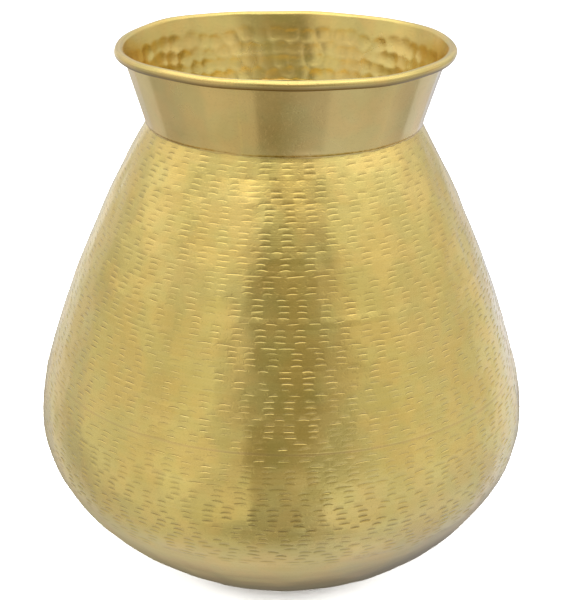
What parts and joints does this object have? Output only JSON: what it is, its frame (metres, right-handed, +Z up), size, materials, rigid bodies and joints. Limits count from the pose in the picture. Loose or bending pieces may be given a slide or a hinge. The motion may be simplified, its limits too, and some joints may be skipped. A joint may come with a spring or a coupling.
{
  "type": "kalash pot",
  "caption": "Round-bellied beaten brass water pot with a flat foot, tall sloping shoulders, a flared collar and a rolled, wired rim.",
  "frame": {"origin": "centre of the flat foot, on the surface that the pot stands on", "axes": "+Z up the pot's axis towards the mouth, -Y towards the front, +X to the right seen from the front"},
  "size_m": [0.26, 0.26, 0.2774],
  "materials": {
    "beaten_brass": "satin, covered in rows of short punch marks",
    "collar_brass": "brushed satin outside, hammer-dimpled inside",
    "wire_brass": "drawn, dull",
    "brazing_metal": "filed flush, slightly redder than the sheet"
  },
  "bodies": {
    "root": {"lower_bowl": "beaten_brass", "upper_shell": "beaten_brass", "neck_collar": "collar_brass", "rim_wire": "wire_brass", "girth_braze": "brazing_metal", "neck_braze": "brazing_metal", "collar_seam_braze": "brazing_metal"}
  },
  "joints": []
}
